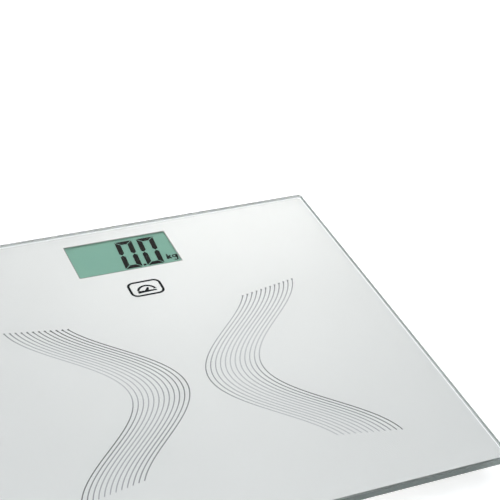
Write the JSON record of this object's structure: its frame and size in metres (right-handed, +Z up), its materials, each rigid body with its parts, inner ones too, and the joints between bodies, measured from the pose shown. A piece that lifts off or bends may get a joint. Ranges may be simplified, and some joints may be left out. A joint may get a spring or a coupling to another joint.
{
  "type": "digital bathroom scale",
  "caption": "Square clear-glass bathroom scale, silver film with a wavy line pattern, grey-green display at the back, housing and sprung feet below.",
  "frame": {"origin": "centre of the platform in plan, on the floor under the rubber pads", "axes": "+Z up, +Y to the back edge, where the display is, +X to the right of someone reading the display"},
  "size_m": [0.3, 0.3, 0.023],
  "materials": {
    "clear_glass": "clear float glass, ground edges",
    "silver_print": "silver-white screen print on film, satin",
    "display_glass": "thin clear display glass",
    "polariser": "polarising film, grey-green",
    "display_backing": "reflective film seen through the liquid crystal, grey-green",
    "white_abs": "fine-textured moulded ABS",
    "grey_abs": "fine-textured moulded ABS, mid grey",
    "foam_tape": "white double-sided foam tape",
    "dark_foam": "closed-cell foam gasket",
    "zebra_rubber": "layered silicone connector strip",
    "circuit_board": "green solder mask on glass-fibre board",
    "black_resin": "black epoxy resin",
    "components": "soldered components",
    "black_nylon": "black moulded nylon",
    "zinc_screw": "zinc-plated steel",
    "cell_steel": "stainless steel can, lightly brushed",
    "contact_spring": "nickel-plated phosphor bronze",
    "sensor_steel": "stamped spring steel",
    "white_silicone": "cured white silicone",
    "pad_rubber": "soft grey rubber",
    "wire_red": "soft PVC insulation",
    "wire_black": "soft PVC insulation",
    "wire_white": "soft PVC insulation"
  },
  "bodies": {
    "platform": {"glass_platform": "clear_glass", "backing_film": "silver_print", "display_frame": "white_abs", "frame_tape": "foam_tape", "lcd_gasket": "dark_foam", "front_polariser": "polariser", "lcd_front_glass": "display_glass", "lcd_rear_glass": "display_glass", "lcd_reflector": "display_backing", "lcd_holder": "white_abs", "zebra_strip": "zebra_rubber", "main_board": "circuit_board", "controller_blob": "black_resin", "board_parts": "components", "switch_body": "black_nylon", "board_screws": "zinc_screw", "bottom_cover": "white_abs", "cover_screws": "zinc_screw", "coin_cell": "cell_steel", "contact_positive": "contact_spring", "contact_negative": "contact_spring", "duct_rear_left": "white_abs", "duct_rear_right": "white_abs", "duct_front_left": "white_abs", "duct_front_right": "white_abs", "wires_red": "wire_red", "wires_black": "wire_black", "wires_white": "wire_white", "foot_bracket_front_left": "white_abs", "bracket_tape_front_left": "foam_tape", "load_cell_front_left": "sensor_steel", "strain_gauge_front_left": "white_silicone", "foot_bracket_front_right": "white_abs", "bracket_tape_front_right": "foam_tape", "load_cell_front_right": "sensor_steel", "strain_gauge_front_right": "white_silicone", "foot_bracket_rear_left": "white_abs", "bracket_tape_rear_left": "foam_tape", "load_cell_rear_left": "sensor_steel", "strain_gauge_rear_left": "white_silicone", "foot_bracket_rear_right": "white_abs", "bracket_tape_rear_right": "foam_tape", "load_cell_rear_right": "sensor_steel", "strain_gauge_rear_right": "white_silicone"},
    "battery_door": {"battery_door": "white_abs"},
    "unit_button": {"unit_button": "grey_abs", "switch_plunger": "black_nylon"},
    "foot_front_left": {"foot_cup_front_left": "white_abs", "foot_pad_front_left": "pad_rubber"},
    "foot_front_right": {"foot_cup_front_right": "white_abs", "foot_pad_front_right": "pad_rubber"},
    "foot_rear_left": {"foot_cup_rear_left": "white_abs", "foot_pad_rear_left": "pad_rubber"},
    "foot_rear_right": {"foot_cup_rear_right": "white_abs", "foot_pad_rear_right": "pad_rubber"}
  },
  "joints": [
    {"name": "foot_slide_front_left", "type": "slide", "parent": "platform", "child": "foot_front_left", "axis": [0, 0, 1], "range_m": [0, 0.0006], "stiffness_N_per_m": 4500, "deforming": ["load_cell_front_left"]},
    {"name": "foot_slide_front_right", "type": "slide", "parent": "platform", "child": "foot_front_right", "axis": [0, 0, 1], "range_m": [0, 0.0006], "stiffness_N_per_m": 4500, "deforming": ["load_cell_front_right"]},
    {"name": "foot_slide_rear_left", "type": "slide", "parent": "platform", "child": "foot_rear_left", "axis": [0, 0, 1], "range_m": [0, 0.0006], "stiffness_N_per_m": 4500, "deforming": ["load_cell_rear_left"]},
    {"name": "foot_slide_rear_right", "type": "slide", "parent": "platform", "child": "foot_rear_right", "axis": [0, 0, 1], "range_m": [0, 0.0006], "stiffness_N_per_m": 4500, "deforming": ["load_cell_rear_right"]},
    {"name": "battery_door_hinge", "type": "hinge", "parent": "platform", "child": "battery_door", "pos_m": [0.0595, 0.1, 0.0054], "axis": [-1, 0, 0], "range_deg": [0, 95]},
    {"name": "unit_button_press", "type": "slide", "parent": "platform", "child": "unit_button", "axis": [0, 0, 1], "range_m": [0, 0.0003], "stiffness_N_per_m": 5000}
  ]
}
